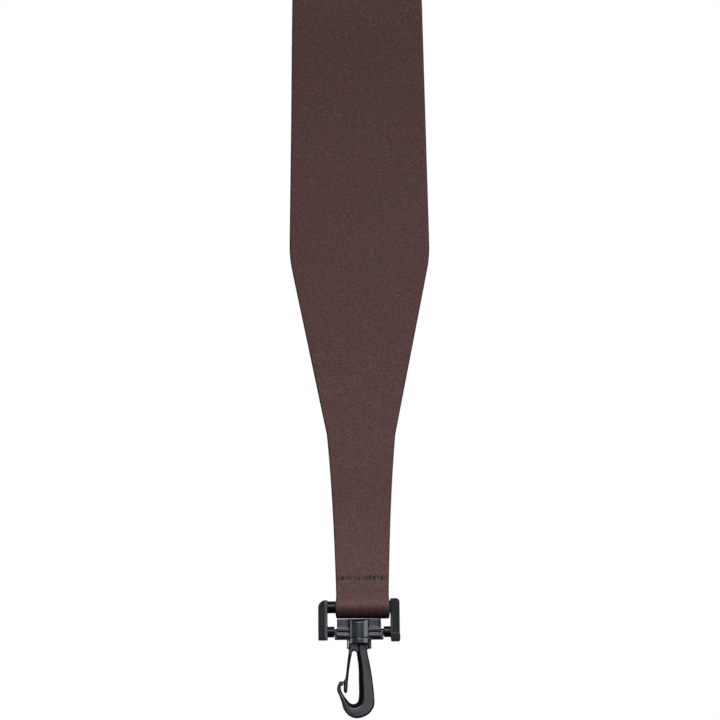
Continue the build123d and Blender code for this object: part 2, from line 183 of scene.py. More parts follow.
def normals(line):
    """Unit normals of a line, to the left of its course."""
    course = np.gradient(line, axis=0)
    course /= np.linalg.norm(course, axis=1)[:, None]
    return np.stack([-course[:, 1], course[:, 0]], axis=1)


def distances(line):
    return np.concatenate([[0.0], np.cumsum(np.linalg.norm(np.diff(line, axis=0), axis=1))])


def leather_line():
    """Middle of the leather: up from the flap's end, round the bar, over the neck and round the ring."""
    lean = math.degrees(front_lean)
    bar_loop = BAR_RADIUS + BAR_GAP + LEATHER / 2
    low = bar_z + LOOP_RISE
    front_bend = arc((-layer_out - LEG_BEND, bend_z), LEG_BEND, 0, lean, 1.2)
    back_degrees = math.degrees(back_lean)
    over = arc((0, neck_z), leather_radius, 180 + lean, -back_degrees, 1.6)
    ring_loop = RING_WIRE + BAR_GAP + LEATHER / 2
    sewn_s = ring_top_s + SEAM_RISE - 3.0
    return joined(
        straight((layer_out, bar_z + FLAP_RISE), (layer_out, low), 0.3),
        ease((layer_out, low), (bar_loop, bar_z), -UP, -UP, 0.5),
        arc((0, bar_z), bar_loop, 0, -180, 0.3),
        ease((-bar_loop, bar_z), (-layer_out, low), UP, UP, 0.5),
        straight((-layer_out, low), (-layer_out, low + 4.0), 0.24),
        straight((-layer_out, low + 4.0), (-layer_out, bend_z), 0.8),
        front_bend,
        straight(front_bend[-1], over[0], 1.25),
        over,
        straight(over[-1], on_web(sewn_s + 5.0, leather_n), 1.25),
        straight(on_web(sewn_s + 5.0, leather_n), on_web(sewn_s, leather_n), 0.3),
        ease(on_web(sewn_s, leather_n), on_web(ring_top_s, ring_n + ring_loop), -along_web, -along_web, 0.5),
        arc(on_web(ring_top_s, ring_n), ring_loop, -back_degrees, -180 - back_degrees, 0.3),
        ease(on_web(ring_top_s, ring_n - ring_loop), on_web(sewn_s, flap_n), along_web, along_web, 0.5),
        straight(on_web(sewn_s, flap_n), on_web(ring_top_s + FLAP_RISE, flap_n), 0.3),
    )


def soft_min(a, b, blur):
    return -blur * np.log(np.exp(-a / blur) + np.exp(-b / blur))


def half_width(rise, tail_half):
    """Half of the band's width at heights above its looped end: tail, knee, taper, shoulder and neck."""
    t = np.clip(rise / KNEE_RISE, 0, 1)
    tail = tail_half + (KNEE_HALF - tail_half) * (0.55 * t + 0.45 * t**3)
    taper = KNEE_HALF + (rise - KNEE_RISE) * (SHOULDER_HALF - KNEE_HALF) / (SHOULDER_RISE - KNEE_RISE)
    to_neck = (SHOULDER_HALF - NECK_HALF) / (neck_z - bar_z - SHOULDER_RISE)
    wide = np.maximum(SHOULDER_HALF - (rise - SHOULDER_RISE) * to_neck, NECK_HALF)
    return soft_min(np.where(rise < KNEE_RISE, tail, taper), wide, 0.5)


def band_halves(line):
    """The band's half width along a line that goes up the front leg and down the back one."""
    top = int(np.argmax(line[:, 1]))
    rise = line[:, 1] - bar_z
    halves = half_width(rise, TAIL_HALF)
    halves[top:] = half_width(rise[top:] - back_shift, BACK_TAIL_HALF)
    halves[:top] += LOOP_BULGE * np.exp(-(((rise[:top] + 1.0) / 4.0) ** 2))
    return halves


# ---------------------------------------------------------------- meshes


def new_mesh(name, vertices, faces, smooth=True):
    """A mesh object from points in millimetres."""
    mesh = bpy.data.meshes.new(name)
    mesh.from_pydata(np.asarray(vertices) * MM, [], faces)
    mesh.polygons.foreach_set("use_smooth", [smooth] * len(mesh.polygons))
    tidy = bmesh.new()
    tidy.from_mesh(mesh)
    bmesh.ops.recalc_face_normals(tidy, faces=tidy.faces)
    tidy.to_mesh(mesh)
    tidy.free()
    obj = bpy.data.objects.new(name, mesh)
    bpy.context.collection.objects.link(obj)
    return obj


def dress(obj, material, body, slot, *nodes):
    """Gives a finished piece its material and body, and hides the CAD nodes that it stands for. Its slot is
    not used.
    """
    obj.data.materials.clear()
    obj.data.materials.append(material)
    if body:
        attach(obj, body)
    if nodes:
        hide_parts(*nodes)
    return obj


def tube_faces(rows, ring, closed=False):
    """Quads between neighbouring rings of a tube, with its two ends capped unless it closes on itself."""
    faces = []
    for i in range(rows if closed else rows - 1):
        a, b = i * ring, (i + 1) % rows * ring
        for j in range(ring):
            k = (j + 1) % ring
            faces.append((a + j, a + k, b + k, b + j))
    if not closed:
        faces.append(tuple(range(ring)))
        faces.append(tuple(range((rows - 1) * ring, rows * ring)))
    return faces


def band(name, line, halves, thickness, columns, rim, relief=None, aside=0.0):
    """A strap along a line in the YZ plane, with rounded cut edges, moved aside along X.
    relief gives the height of points on its faces and the darkness of their painted shade."""
    flat = np.linspace(-1, 1, columns)
    turn = np.radians(np.linspace(90, -90, 9)[1:-1])
    inner = (np.broadcast_to(halves, len(line)) - rim)[:, None]
    bulge = rim * np.cos(turn) ** 0.7
    x = np.concatenate([inner * flat, inner + bulge, inner * -flat, -inner - bulge], axis=1)
    level = np.concatenate([np.ones(columns), np.sin(turn), -np.ones(columns), -np.sin(turn)])
    x = x + np.broadcast_to(aside, len(line))[:, None]
    rows, ring = x.shape
    n = np.tile(level * thickness / 2, (rows, 1))
    out = normals(line)[:, None, :]
    place = line[:, None, :] + out * n[:, :, None]
    dark = np.zeros((rows, ring))
    if relief:
        height, dark = relief(x, place[:, :, 0], place[:, :, 1])
        place = place + out * (height * np.sign(n))[:, :, None]
    vertices = np.concatenate([x[:, :, None], place], axis=2).reshape(-1, 3)
    obj = new_mesh(name, vertices, tube_faces(rows, ring))
    for cap in obj.data.polygons[-2:]:
        cap.use_smooth = False
    edge = np.concatenate([np.zeros(columns), np.ones(7), np.zeros(columns), np.ones(7)])
    for label, values in (("edge", np.tile(edge, (rows, 1))), ("dark", dark)):
        layer = obj.data.attributes.new(label, "FLOAT", "POINT")
        layer.data.foreach_set("value", values.ravel())
    run = np.tile(distances(line)[:, None], (1, ring))
    uv = np.stack([x * MM, run * MM], axis=2).reshape(-1, 2)
    corners = np.zeros(len(obj.data.loops), np.int32)
    obj.data.loops.foreach_get("vertex_index", corners)
    obj.data.uv_layers.new(name="run").data.foreach_set("uv", uv[corners].ravel())
    return obj


def evaluated(obj, name):
    """A new object with the mesh that obj's modifiers make."""
    bpy.context.view_layer.update()
    mesh = bpy.data.meshes.new_from_object(obj.evaluated_get(bpy.context.evaluated_depsgraph_get()))
    mesh.name = name
    result = bpy.data.objects.new(name, mesh)
    bpy.context.collection.objects.link(result)
    return result


def moulded(name, sources, voxel, rounds):
    """One moulding with softened edges, made from closed meshes that may overlap."""
    rough = bpy.data.objects.new("rough", bpy.data.meshes.new("rough"))
    bpy.context.collection.objects.link(rough)
    together = bmesh.new()
    for source in sources:
        together.from_mesh(source.data)
    together.to_mesh(rough.data)
    together.free()
    remesh = rough.modifiers.new("remesh", "REMESH")
    remesh.mode = "VOXEL"
    remesh.voxel_size = voxel * MM
    soften = rough.modifiers.new("soften", "SMOOTH")
    soften.iterations = rounds
    result = evaluated(rough, name)
    result.data.polygons.foreach_set("use_smooth", [True] * len(result.data.polygons))
    bpy.data.objects.remove(rough)
    return result


def capsule_row(name, lines, radius, sides=8):
    """Short lengths of thread, each one a tube along its own level line of points, joined into one mesh."""
    vertices, faces = [], []
    angles = np.linspace(0, 2 * math.pi, sides, endpoint=False)
    for line in lines:
        line = np.asarray(line)
        course = np.gradient(line, axis=0)
        course /= np.linalg.norm(course, axis=1)[:, None]
        side = np.cross(course, [0.0, 0.0, 1.0])
        side /= np.linalg.norm(side, axis=1)[:, None]
        other = np.cross(course, side)
        taper = radius * np.sqrt(np.clip(1 - np.linspace(-1, 1, len(line)) ** 6, 0.05, 1))[:, None, None]
        across = side[:, None, :] * np.cos(angles)[None, :, None]
        up = other[:, None, :] * np.sin(angles)[None, :, None]
        ring = line[:, None, :] + taper * (across + up)
        base = len(vertices)
        vertices.extend(ring.reshape(-1, 3))
        faces.extend(tuple(base + i for i in face) for face in tube_faces(len(line), sides))
    return new_mesh(name, vertices, faces)


# ---------------------------------------------------------------- materials


class Nodes:
    """A material and its node tree, with short ways to add to it."""

    def __init__(self, name, roughness, ior=1.5):
        self.material = bpy.data.materials.new(name)
        self.material.use_nodes = True
        self.tree = self.material.node_tree
        self.shader = self.tree.nodes["Principled BSDF"]
        self.shader.inputs["Roughness"].default_value = roughness
        self.shader.inputs["IOR"].default_value = ior
        self.place = self.add("ShaderNodeTexCoord").outputs["Object"]

    def add(self, kind, **settings):
        node = self.tree.nodes.new(kind)
        for key, value in settings.items():
            setattr(node, key, value)
        return node

    def set(self, node, key, value):
        if isinstance(value, bpy.types.NodeSocket):
            self.tree.links.new(value, node.inputs[key])
        else:
            node.inputs[key].default_value = value

    def noise(self, scale, detail=2.0, source=None):
        node = self.add("ShaderNodeTexNoise")
        self.set(node, "Vector", source or self.place)
        self.set(node, "Scale", scale)
        self.set(node, "Detail", detail)
        return node.outputs["Fac"]

    def cells(self, scale):
        node = self.add("ShaderNodeTexVoronoi")
        self.set(node, "Vector", self.place)
        self.set(node, "Scale", scale)
        return node.outputs["Distance"]

    def math(self, operation, a, b=0.0):
        node = self.add("ShaderNodeMath", operation=operation)
        self.set(node, 0, a)
        self.set(node, 1, b)
        return node.outputs[0]

    def map(self, value, low, high, to_low, to_high):
        node = self.add("ShaderNodeMapRange")
        names = ("Value", "From Min", "From Max", "To Min", "To Max")
        for key, setting in zip(names, (value, low, high, to_low, to_high)):
            self.set(node, key, setting)
        return node.outputs[0]

    def mix(self, factor, a, b):
        node = self.add("ShaderNodeMix", data_type="RGBA")
        self.set(node, "Factor", factor)
        self.set(node, 6, a)
        self.set(node, 7, b)
        return node.outputs[2]

    def attribute(self, name):
        return self.add("ShaderNodeAttribute", attribute_name=name).outputs["Fac"]

    def run(self):
        """Places across and along a strap, in metres."""
        split = self.add("ShaderNodeSeparateXYZ")
        self.set(split, 0, self.add("ShaderNodeUVMap", uv_map="run").outputs[0])
        return split.outputs[0], split.outputs[1]

    def bump(self, height, distance, strength=1.0, under=None):
        node = self.add("ShaderNodeBump")
        self.set(node, "Height", height)
        self.set(node, "Distance", distance)
        self.set(node, "Strength", strength)
        if under:
            self.set(node, "Normal", under)
        return node.outputs[0]

    def finish(self, colour=None, roughness=None, normal=None):
        for key, value in (("Base Color", colour), ("Roughness", roughness), ("Normal", normal)):
            if value is not None:
                self.set(self.shader, key, value)
        return self.material


def rgb(red, green, blue):
    """Linear colour from an sRGB one, each channel out of 255."""
    shares = [channel / 255 for channel in (red, green, blue)]
    linear = [((c + 0.055) / 1.055) ** 2.4 if c > 10 / 255 else c / 12.92 for c in shares]
    return (*linear, 1.0)


def leather_material():
    """Matte brown leather: darkened towards the neck with painted shade, mottled and speckled, with burnished
    cut edges.
    """
    m = Nodes("brown_leather", 0.65)
    m.shader.inputs["Specular IOR Level"].default_value = 0.18
    mottle = m.map(m.noise(75, 5), 0.3, 0.7, 0, 1)
    split = m.add("ShaderNodeSeparateXYZ")
    m.set(split, 0, m.place)
    # painted shade: the band goes over to a darker brown towards the neck and keeps its own colour lower down
    lower = m.map(split.outputs[2], -0.13, -0.32, 0, 1)
    colour = m.mix(mottle, rgb(83, 53, 52), rgb(79, 55, 53))
    colour = m.mix(lower, m.mix(mottle, rgb(58, 32, 28), rgb(55, 34, 29)), colour)
    speckle = m.map(m.noise(850, 3), 0.36, 0.62, 0, 1)
    colour = m.mix(speckle, m.mix(0.62, rgb(30, 18, 17), colour), colour)
    fleck = m.map(m.noise(1300, 2), 0.6, 0.74, 0, 0.3)
    colour = m.mix(fleck, colour, rgb(112, 86, 80))
    rim = m.math("MULTIPLY", m.attribute("edge"), m.map(m.noise(700, 2), 0.3, 0.6, 0.75, 1.0))
    colour = m.mix(rim, colour, rgb(30, 15, 15))
    # painted shade from the band's dark attribute: under the bar, where the layers part, in the seams'
    # grooves and holes
    colour = m.mix(m.attribute("dark"), colour, rgb(12, 7, 7))
    grain = m.math("ADD", m.math("MULTIPLY", m.cells(1100), 0.6), m.noise(2000, 3))
    return m.finish(colour, m.map(m.noise(900, 2), 0.3, 0.7, 0.55, 0.75), m.bump(grain, 0.0001, 0.6))


def suede_material():
    m = Nodes("dark_suede", 0.95)
    nap = m.noise(2600, 4)
    colour = m.mix(m.map(m.noise(160, 3), 0.35, 0.65, 0, 1), rgb(34, 24, 24), rgb(25, 18, 18))
    colour = m.mix(m.map(nap, 0.35, 0.7, 0, 0.5), colour, rgb(62, 46, 44))
    m.shader.inputs["Sheen Weight"].default_value = 0.25
    m.shader.inputs["Sheen Roughness"].default_value = 0.6
    return m.finish(colour, m.map(nap, 0.3, 0.7, 0.85, 1.0), m.bump(nap, 0.00025, 0.7))


def web_material():
    """Black nylon webbing: ribs across it, with warp threads that go over and under by turns."""
    m = Nodes("black_webbing", 0.6)
    across, along = m.run()
    warp = m.math("SINE", m.math("MULTIPLY", across, 2 * math.pi / 0.0016))
    weft = m.math("SINE", m.math("MULTIPLY", along, 2 * math.pi / 0.0019))
    weave = m.math("MULTIPLY", warp, weft)
    fibre = m.noise(5200, 3)
    colour = m.mix(m.map(weave, -1, 1, 0, 1), rgb(15, 15, 17), rgb(38, 38, 41))
    colour = m.mix(m.map(fibre, 0.35, 0.7, 0, 0.35), colour, rgb(60, 60, 64))
    under = m.bump(weave, 0.00022, 0.9)
    return m.finish(colour, m.map(fibre, 0.3, 0.7, 0.45, 0.75), m.bump(fibre, 0.00006, 0.5, under))


def thread_material(name, light, dark):
    m = Nodes(name, 0.7)
    twist = m.noise(2400, 3)
    colour = m.mix(m.map(twist, 0.35, 0.65, 0, 1), dark, light)
    return m.finish(colour, m.map(twist, 0.3, 0.7, 0.55, 0.8), m.bump(twist, 0.00015, 0.7))


def plastic_material(name, colour, lighter, roughness, grain, shine, matt_painted_shade_sides=False, painted_chamfer_reflection=None):
    """Black moulded plastic with a fine moulded grain and faint handling marks.
    Its sides can be matt and darkened with painted shade, and its upright chamfers lightened with a painted
    reflection."""
    m = Nodes(name, roughness)
    patch = m.map(m.noise(240, 3), 0.35, 0.65, 0, 1)
    fine = m.noise(2300, 3)
    tone = m.mix(patch, colour, lighter)
    worn = m.map(patch, 0, 1, roughness - 0.03, roughness + 0.04)
    rough = m.math("ADD", worn, m.map(fine, 0.3, 0.7, -0.03, 0.03))
    m.set(m.shader, "Specular IOR Level", shine)
    split = m.add("ShaderNodeSeparateXYZ")
    m.set(split, 0, m.add("ShaderNodeTexCoord").outputs["Normal"])
    if painted_chamfer_reflection:
        # painted reflection: chamfers that face half sideways go over to a lighter bluish grey
        slant = m.math("ABSOLUTE", m.math("MULTIPLY", split.outputs[0], split.outputs[1]))
        tone = m.mix(m.map(slant, 0.25, 0.42, 0, 1), tone, painted_chamfer_reflection)
    if matt_painted_shade_sides:
        # painted shade: faces that do not look straight front or back are darkened, and made matt as well
        side = m.map(m.math("ABSOLUTE", split.outputs[1]), 0.95, 0.99, 1, 0)
        tone = m.mix(side, tone, rgb(9, 10, 11))
        rough = m.math("ADD", rough, m.math("MULTIPLY", side, 0.3))
        m.set(m.shader, "Specular IOR Level", m.map(side, 0, 1, shine, 0.03))
    return m.finish(tone, rough, m.bump(fine, grain, 0.5))


def metal_material():
    m = Nodes("black_metal", 0.3)
    wear = m.map(m.noise(900, 4), 0.55, 0.75, 0, 0.5)
    m.shader.inputs["Metallic"].default_value = 0.6
    colour = m.mix(wear, rgb(34, 34, 36), rgb(78, 78, 80))
    rough = m.map(m.noise(1500, 3), 0.3, 0.7, 0.24, 0.42)
    return m.finish(colour, rough, m.bump(m.noise(3000, 2), 0.00003, 0.4))


# ---------------------------------------------------------------- soft pieces


def seam_rows():
    """The sewn rows: a point of each on the leather's face, its course and outward normal, and its holes."""
    dice = random.Random(7)
    face = LEATHER / 2
    rows = []
    for name, point, course, out, half in (
        ("front", np.array([-layer_out - face, bar_z + SEAM_RISE]), UP, np.array([-1.0, 0.0]), TAIL_HALF),
        ("front_flap", np.array([layer_out + face, bar_z + SEAM_RISE]), UP, np.array([1.0, 0.0]), TAIL_HALF),
        ("back", on_web(ring_top_s + SEAM_RISE, leather_n + face), along_web, out_of_web, BACK_TAIL_HALF),
        ("back_flap", on_web(ring_top_s + SEAM_RISE, flap_n - face), along_web, -out_of_web, BACK_TAIL_HALF),
    ):
        count = int(2 * (half - SEAM_MARGIN) / STITCH_PITCH) + 1
        holes = []
        for i in range(count):
            x = (i - (count - 1) / 2) * STITCH_PITCH + dice.uniform(-0.25, 0.25)
            holes.append((x, dice.uniform(-0.22, 0.22), dice.choice((0.3, 0.55, 0.8, 1.0))))
        rows.append((name, point, course, out, holes))
    return rows


def leather_relief(x, y, z):
    """The leather's slow waves, the groove of its seams and the dents of their holes, with painted shade
    under the bar, in the grooves and in the holes.
    """
    height = 0.10 * np.sin(z / 21 + x / 27) + 0.07 * np.sin(z / 9.5 - x / 13 + 2.0)
    # painted shade under the bar, and a little where the layers part above it
    dark = 0.6 * np.clip((bar_z + 1.0 - z) / 4.5, 0, 1) + 0.17 * np.exp(-(((z - bar_z - 5.0) / 3.0) ** 2))
    for _, point, course, out, holes in seam_rows():
        run = (y - point[0]) * course[0] + (z - point[1]) * course[1]
        level = (y - point[0]) * out[0] + (z - point[1]) * out[1]
        here = np.abs(level) < SEAM_DEPTH
        height = height - np.where(here, 0.14 * np.exp(-((run / 0.6) ** 2)), 0)
        # painted shade along the seam's groove
        dark = dark + np.where(here, 0.08 * np.exp(-((run / 0.4) ** 2)), 0)
        for hole_x, hole_run, depth in holes:
            near = depth * np.exp(-((x - hole_x) ** 2 + (run - hole_run) ** 2) / HOLE_RADIUS**2)
            height = height - np.where(here, 0.55 * near, 0)
            # painted shade in the stitch holes
            dark = dark + np.where(here, 3.0 * near, 0)
    return height, np.clip(dark, 0, 1)


def make_leather(material):
    line = leather_line()
    halves = band_halves(line)
    obj = band("leather_band", line, halves, LEATHER, 61, 0.75, leather_relief)
    dress(obj, material, "strap", "leather", "leather_strap")


def make_suede(material):
    """The lining under the band's wide part. It shows as a dark line at the left edge, near the neck."""
    line = leather_line()
    top = int(np.argmax(line[:, 1]))
    under = line - normals(line) * (LEATHER + SUEDE) / 2
    rise = under[:, 1] - bar_z
    first = int(np.argmax(rise > SUEDE_RISE))
    last = top + int(np.argmax(rise[top:] < SUEDE_RISE + back_shift))
    kept = slice(first, last)
    growth = np.clip((rise[kept] - SUEDE_RISE - 15) / 80, 0, 1) ** 0.7
    halves = band_halves(line)[kept] - LINING_IN
    obj = band("suede_lining", under[kept], halves, SUEDE, 41, 0.4, aside=-(LINING_OUT + LINING_IN) * growth)
    dress(obj, material, "strap", "suede", "suede_backing")


def make_stitches(material):
    """One length of thread between each pair of neighbouring holes, with its ends down in the leather."""
    t = np.linspace(-1, 1, 11)
    for name, point, course, out, holes in seam_rows():
        threads = []
        for (x0, run0, _), (x1, run1, _) in zip(holes, holes[1:]):
            x = (x0 + x1) / 2 + (x1 - x0 - THREAD_SHORT) * t / 2
            run = run0 + (run1 - run0) * (t + 1) / 2
            height = -0.2 - 0.8 * t**6
            yz = point + run[:, None] * course + height[:, None] * out
            threads.append(np.concatenate([x[:, None], yz], axis=1))
        obj = capsule_row(f"stitches_{name}", threads, THREAD_RADIUS)
        nodes = {"front": ["front_seam_stitches"], "back": ["back_seam_stitches"]}.get(name, [])
        dress(obj, material, "strap", "thread", *nodes)


def fixed_web_line():
    """The webbing from inside the front seam up to and round the ring's lower wire."""
    degrees = math.degrees(back_lean)
    turn = RING_WIRE + 0.1 + WEB / 2
    return joined(
        straight((0, bar_z + WEB_END_RISE), (0, bend_z), 1.0),
        arc((WEB_BEND, bend_z), WEB_BEND, 180, 180 - degrees, 1.0),
        straight(web_start, on_web(RING_S, 0), 1.0),
        arc(on_web(RING_S, ring_n), turn, 180 - degrees, -degrees, 0.3),
    )


def loose_web_line():
    """The webbing's sewn end round the slide's bar, and its free run up to the ring."""
    low, high, sewn_top = SLIDE_S - 0.8, SLIDE_S + 0.8, SLIDE_S + SEWN_END
    degrees = math.degrees(back_lean)
    free_n = 2 * ring_n
    return joined(
        straight(on_web(sewn_top - 3, tail_n), on_web(low, tail_n), 0.8),
        arc(on_web(low, bar_n), wrap, 180 - degrees, 360 - degrees, 0.3),
        straight(on_web(low, bar_n + wrap), on_web(high, bar_n + wrap), 0.5),
        ease(on_web(high, bar_n + wrap), on_web(SLIDE_S + 9, outer_n), along_web, along_web, 0.6),
        straight(on_web(SLIDE_S + 9, outer_n), on_web(sewn_top, outer_n), 0.8),
        ease(on_web(sewn_top, outer_n), on_web(RING_S, free_n), along_web, along_web, 0.6),
    )


def make_webbing(material, thread):
    fixed = band("webbing_fixed", fixed_web_line(), WEB_WIDTH / 2, WEB, 41, 0.35)
    dress(fixed, material, "strap", "webbing", "adjuster_web")
    loose = band("webbing_loose", loose_web_line(), WEB_WIDTH / 2, WEB, 41, 0.35)
    dress(loose, material, None, "webbing", "web_sewn_end", "web_free_run")
    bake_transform(loose)
    make_web_stitches(thread)


def make_web_stitches(material):
    """Two rows of thread on each face of the sewn end."""
    t = np.linspace(-1, 1, 9)
    pitch = WEB_STITCH_PITCH
    count = int(WEB_WIDTH / pitch) - 1
    threads = []
    for s in (SLIDE_S + 11.5, SLIDE_S + 15):
        for n, out in ((outer_n + WEB / 2, 1), (tail_n - WEB / 2, -1)):
            for i in range(count):
                x = (i - (count - 1) / 2) * pitch + t * pitch * 0.46
                yz = on_web(s, n) + (out * (0.05 - 0.5 * t**6))[:, None] * out_of_web
                threads.append(np.concatenate([x[:, None], yz], axis=1))
    obj = capsule_row("stitches_web_end", threads, WEB_THREAD_RADIUS)
    dress(obj, material, "slide", "thread", "web_end_stitches")


# ---------------------------------------------------------------- hard pieces


def make_ring(material):
    """The wire ring between the webbing and the band's back end: a rounded rectangle of round wire."""
    across, up, corner = RING_INSIDE / 2 + RING_WIRE, RING_PITCH / 2, 2.1
    points = []
    for side_x, side_s, start in ((1, 1, 90), (1, -1, 0), (-1, -1, -90), (-1, 1, -180)):
        centre = (side_x * (across - corner), side_s * (up - corner))
        for angle in np.radians(np.linspace(start, start - 90, 9)):
            points.append((centre[0] + corner * math.cos(angle), centre[1] + corner * math.sin(angle)))
    rows = []
    middle = RING_S + RING_PITCH / 2
    count = len(points)
    turns = np.linspace(0, 2 * math.pi, 20, endpoint=False)
    for i, (x, s) in enumerate(points):
        before, after = points[i - 1], points[(i + 1) % count]
        course = np.array([after[0] - before[0], after[1] - before[1]])
        course /= np.linalg.norm(course)
        for turn in turns:
            out = RING_WIRE * math.cos(turn)
            y, z = on_web(middle + s - out * course[0], ring_n + RING_WIRE * math.sin(turn))
            rows.append((x + out * course[1], y, z))
    obj = new_mesh("ring", rows, tube_faces(count, len(turns), closed=True))
    dress(obj, material, "strap", "black_metal", "strap_ring")


def make_moulded_node(node, body, material, voxel, rounds):
    """A CAD part with the softened edges of a moulding."""
    obj = moulded(node + "_moulding", [frame["nodes"][node]], voxel, rounds)
    return dress(obj, material, body, "black_plastic", node)


def through(points, step):
    """A smooth line through points, as evenly spaced ones."""
    points = np.asarray(points, float)
    padded = np.concatenate([[2 * points[0] - points[1]], points, [2 * points[-1] - points[-2]]])
    t = np.linspace(0, 1, 25)[:-1, None]
    spans = []
    for a, b, c, d in zip(padded, padded[1:], padded[2:], padded[3:]):
        bend = (2 * a - 5 * b + 4 * c - d) * t**2 + (3 * b - a - 3 * c + d) * t**3
        spans.append(0.5 * (2 * b + (c - a) * t + bend))
    line = np.concatenate(spans + [points[-1:]])
    run = distances(line)
    even = np.linspace(0, run[-1], max(2, int(run[-1] / step)) + 1)
    return np.stack([np.interp(even, run, line[:, k]) for k in range(points.shape[1])], axis=1)


# The hook's stations from its crown round to its tip: inner x and z, outer x and z, and half its depth.
# x is measured from the middle of the buckle and z from its bar.
HOOK = (
    (-1.9, -18.6, 3.5, -18.6, 2.5),
    (-1.2, -22.9, 4.2, -23.2, 2.5),
    (-0.45, -29.0, 5.4, -29.2, 2.5),
    (-0.35, -35.6, 6.4, -36.2, 2.45),
    (-0.3, -41.8, 7.0, -42.6, 2.4),
    (-0.7, -45.1, 6.9, -47.8, 2.4),
    (-1.7, -46.4, 3.9, -51.8, 2.4),
    (-3.1, -46.78, -1.2, -53.5, 2.4),
    (-4.5, -46.3, -5.1, -52.3, 2.4),
    (-5.7, -45.2, -7.7, -49.2, 2.3),
    (-7.1, -43.3, -8.7, -45.9, 2.1),
    (-8.3, -41.4, -9.85, -42.7, 1.8),
    (-8.95, -39.6, -10.85, -40.3, 1.7),
    (-8.95, -38.2, -10.7, -38.2, 1.7),
    (-8.5, -37.2, -10.1, -36.8, 1.7),
)
# The cap on the hook's tip, which the gate's shoulder meets
CAP = (
    (-10.1, -37.2), (-9.75, -36.1), (-9.4, -35.85), (-7.9, -35.9),
    (-7.8, -37.3), (-8.2, -37.85), (-9.2, -38.0), (-9.9, -38.0),
)


def hook_loft():
    """The hook's spine, bowl and tip: flat-fronted and bevelled, more so towards the inner edge."""
    stations = through(HOOK, 0.4)
    # share of the width from the inner edge, and share of the half depth
    profile = ((0.0, 0.42), (0.05, 0.60), (0.30, 0.96), (0.36, 1.0), (0.60, 1.0), (0.93, 0.93), (1.0, 0.60))
    ring = [(u, d) for u, d in profile] + [(u, -d) for u, d in profile[::-1]]
    vertices = []
    for inner_x, inner_z, outer_x, outer_z, depth in stations:
        for u, d in ring:
            x = inner_x + (outer_x - inner_x) * u
            z = inner_z + (outer_z - inner_z) * u
            vertices.append((bar_x + x, -depth * d, bar_z + z))
    return new_mesh("loft", vertices, tube_faces(len(stations), len(ring)))


def slab(name, outline, half_depth, bevel, step=None):
    """A flat piece with this outline in the XZ plane and rounded edges."""
    points = through(list(outline) + [outline[0]], step)[:-1] if step else outline
    flat = bmesh.new()
    corners = [flat.verts.new(((bar_x + x) * MM, -half_depth * MM, (bar_z + z) * MM)) for x, z in points]
    face = flat.faces.new(corners)
    pulled = bmesh.ops.extrude_face_region(flat, geom=[face])["geom"]
    moved = [item for item in pulled if isinstance(item, bmesh.types.BMVert)]
    bmesh.ops.translate(flat, verts=moved, vec=(0, 2 * half_depth * MM, 0))
    bmesh.ops.recalc_face_normals(flat, faces=flat.faces)
    rims = [edge for edge in flat.edges if len({round(v.co.y, 7) for v in edge.verts}) == 1]
    bmesh.ops.bevel(flat, geom=rims, offset=bevel * MM, segments=3, affect="EDGES", clamp_overlap=True)
    mesh = bpy.data.meshes.new(name)
    flat.to_mesh(mesh)
    flat.free()
    obj = bpy.data.objects.new(name, mesh)
    bpy.context.collection.objects.link(obj)
    return obj


def lathe(name, profile, sides=48):
    """A turned piece round the hook's swivel axis: (radius, height above the hub's pins)."""
    vertices = []
    for radius, height in profile:
        for k in range(sides):
            angle = 2 * math.pi * k / sides
            vertices.append((bar_x + radius * math.cos(angle), radius * math.sin(angle), pivot_z + height))
    return new_mesh(name, vertices, tube_faces(len(profile), sides))


def make_hook(material):
    crown_outline = (
        (-4.8, -18.2), (3.9, -18.2), (3.9, -21.0), (3.2, -21.9), (-0.9, -22.1), (-1.7, -21.5), (-2.3, -21.15),
        (-2.9, -21.2), (-3.4, -21.8), (-3.7, -23.0), (-5.2, -23.0), (-5.1, -20.4), (-4.8, -20.0),
    )
    crown = slab("crown", crown_outline, 2.1, 0.3)
    disc = lathe("disc", ((4.9, -8.3), (4.9, -5.8)))
    for vertex in disc.data.vertices:
        vertex.co.y = max(-2.1 * MM, min(2.1 * MM, vertex.co.y))
    stem = lathe("stem", ((1.9, -7.0), (1.9, -1.3), (2.8, -1.3), (2.8, -0.5), (1.4, 3.2)))
    cap = slab("cap", CAP, 1.7, 0.25)
    loft = hook_loft()
    parts = [loft, crown, disc, stem, cap]
    hook = moulded("hook_moulding", parts, FINE_VOXEL, 2)
    for part in parts:
        bpy.data.objects.remove(part)
    dress(hook, material, "hook", "black_plastic", "hook_body")


def make_gate(material):
    """The springy tongue that closes the hook, which bends where it leaves the crown; here it is one moulded
    piece that nothing bends.
    """
    outline = (
        (-5.1, -21.6), (-5.6, -25.0), (-6.1, -29.2), (-6.6, -33.3), (-6.95, -34.7), (-7.86, -36.0),
        (-7.7, -37.2), (-7.66, -40.2), (-7.4, -41.1), (-6.7, -41.55), (-6.05, -41.1), (-5.87, -40.2),
        (-5.6, -36.5), (-5.1, -31.6), (-4.4, -26.8), (-3.6, -22.6), (-3.5, -21.6),
    )
    strip = slab("strip", outline, 1.9, 0.6)
    gate = moulded("gate_tongue", [strip], FINE_VOXEL, 2)
    bpy.data.objects.remove(strip)
    dress(gate, material, None, "black_plastic", "hook_gate")
    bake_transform(gate)


# ---------------------------------------------------------------- studio


